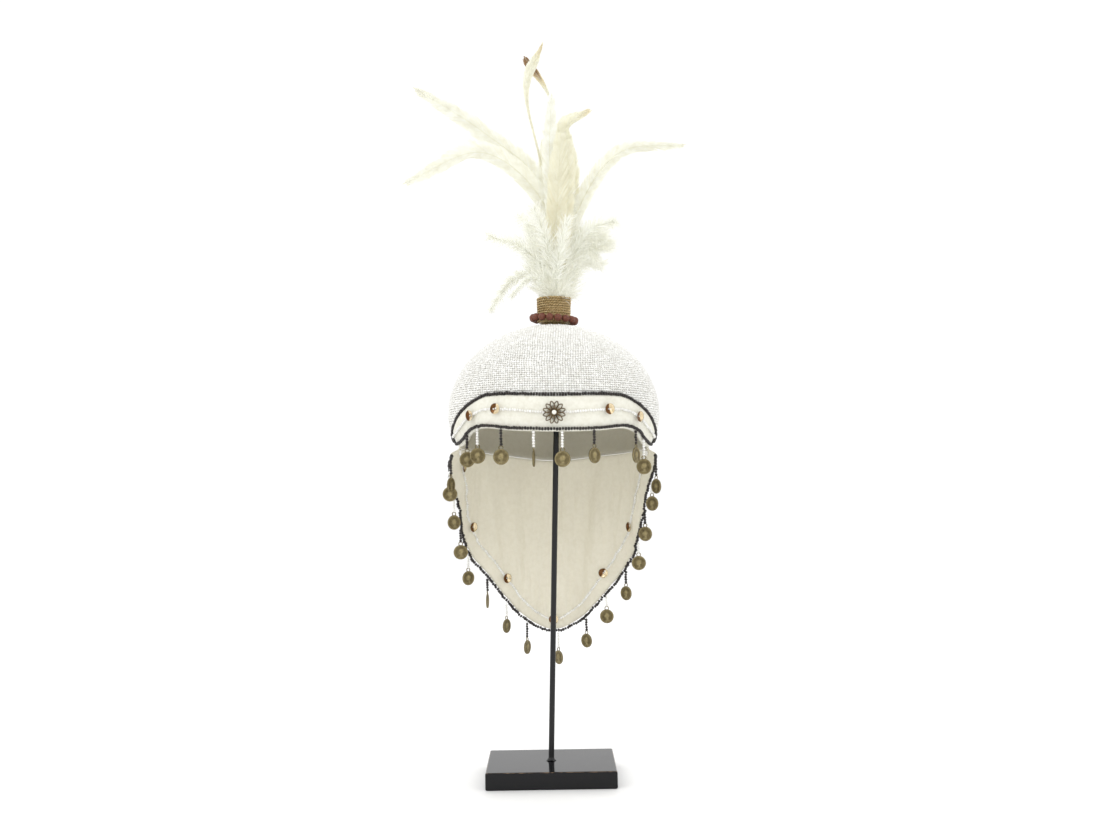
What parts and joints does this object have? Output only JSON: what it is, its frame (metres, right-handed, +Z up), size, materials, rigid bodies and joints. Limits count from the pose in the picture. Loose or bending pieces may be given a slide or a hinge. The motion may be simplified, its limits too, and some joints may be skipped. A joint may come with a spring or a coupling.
{
  "type": "feathered headdress on a plain stand",
  "caption": "Domed beaded cap with a cloth forehead band and neck veil, hanging coin drops and a feather plume, held on a rod stand with a rectangular base.",
  "frame": {"origin": "middle of the stand base's underside, which rests on the floor", "axes": "+Z up along the stand, -Y out of the forehead, +X to the viewer's right"},
  "size_m": [0.2602, 0.2087, 0.6672],
  "materials": {
    "white_beads": "opaque white glass seed beads sewn in close rows",
    "band_cloth": "plain woven cream cotton",
    "veil_cloth": "plain woven cream cotton, unbleached",
    "dark_beads": "black-brown glossy glass seed beads",
    "sequins": "two-tone mirror and brown-gold cupped discs",
    "brass": "aged olive-brown brass, rubbed bright on its high places",
    "gold_cord": "metallic gold cord wound in close turns",
    "red_beads": "rough red-brown seed beads",
    "feathers": "ivory and cream feather vanes, two with brown tips",
    "black_paint": "black satin paint",
    "black_lacquer": "black gloss lacquer on wood"
  },
  "bodies": {
    "root": {"stand_base": "black_lacquer", "stand_rod": "black_paint", "beaded_cap": "white_beads", "front_band": "band_cloth", "veil": "veil_cloth", "upper_piping": "dark_beads", "lower_piping": "dark_beads", "band_bead_line": "white_beads", "hem_piping": "dark_beads", "veil_bead_line": "white_beads", "band_sequin_1": "sequins", "band_sequin_2": "sequins", "band_sequin_3": "sequins", "band_sequin_4": "sequins", "veil_sequin_1": "sequins", "veil_sequin_2": "sequins", "veil_sequin_3": "sequins", "veil_sequin_4": "sequins", "veil_sequin_5": "sequins", "veil_sequin_6": "sequins", "veil_sequin_7": "sequins", "flower": "brass", "coin_drop_01": "brass", "coin_drop_02": "brass", "coin_drop_03": "brass", "coin_drop_04": "brass", "coin_drop_05": "brass", "coin_drop_06": "brass", "coin_drop_07": "brass", "coin_drop_08": "brass", "coin_drop_09": "brass", "coin_drop_10": "brass", "coin_drop_11": "brass", "coin_drop_12": "brass", "coin_drop_13": "brass", "coin_drop_14": "brass", "coin_drop_15": "brass", "coin_drop_16": "brass", "coin_drop_17": "brass", "coin_drop_18": "brass", "coin_drop_19": "brass", "coin_drop_20": "brass", "coin_drop_21": "brass", "coin_drop_22": "brass", "coin_drop_23": "brass", "coin_drop_24": "brass", "collar": "gold_cord", "collar_bead_ring": "red_beads", "plume": "feathers"}
  },
  "joints": []
}
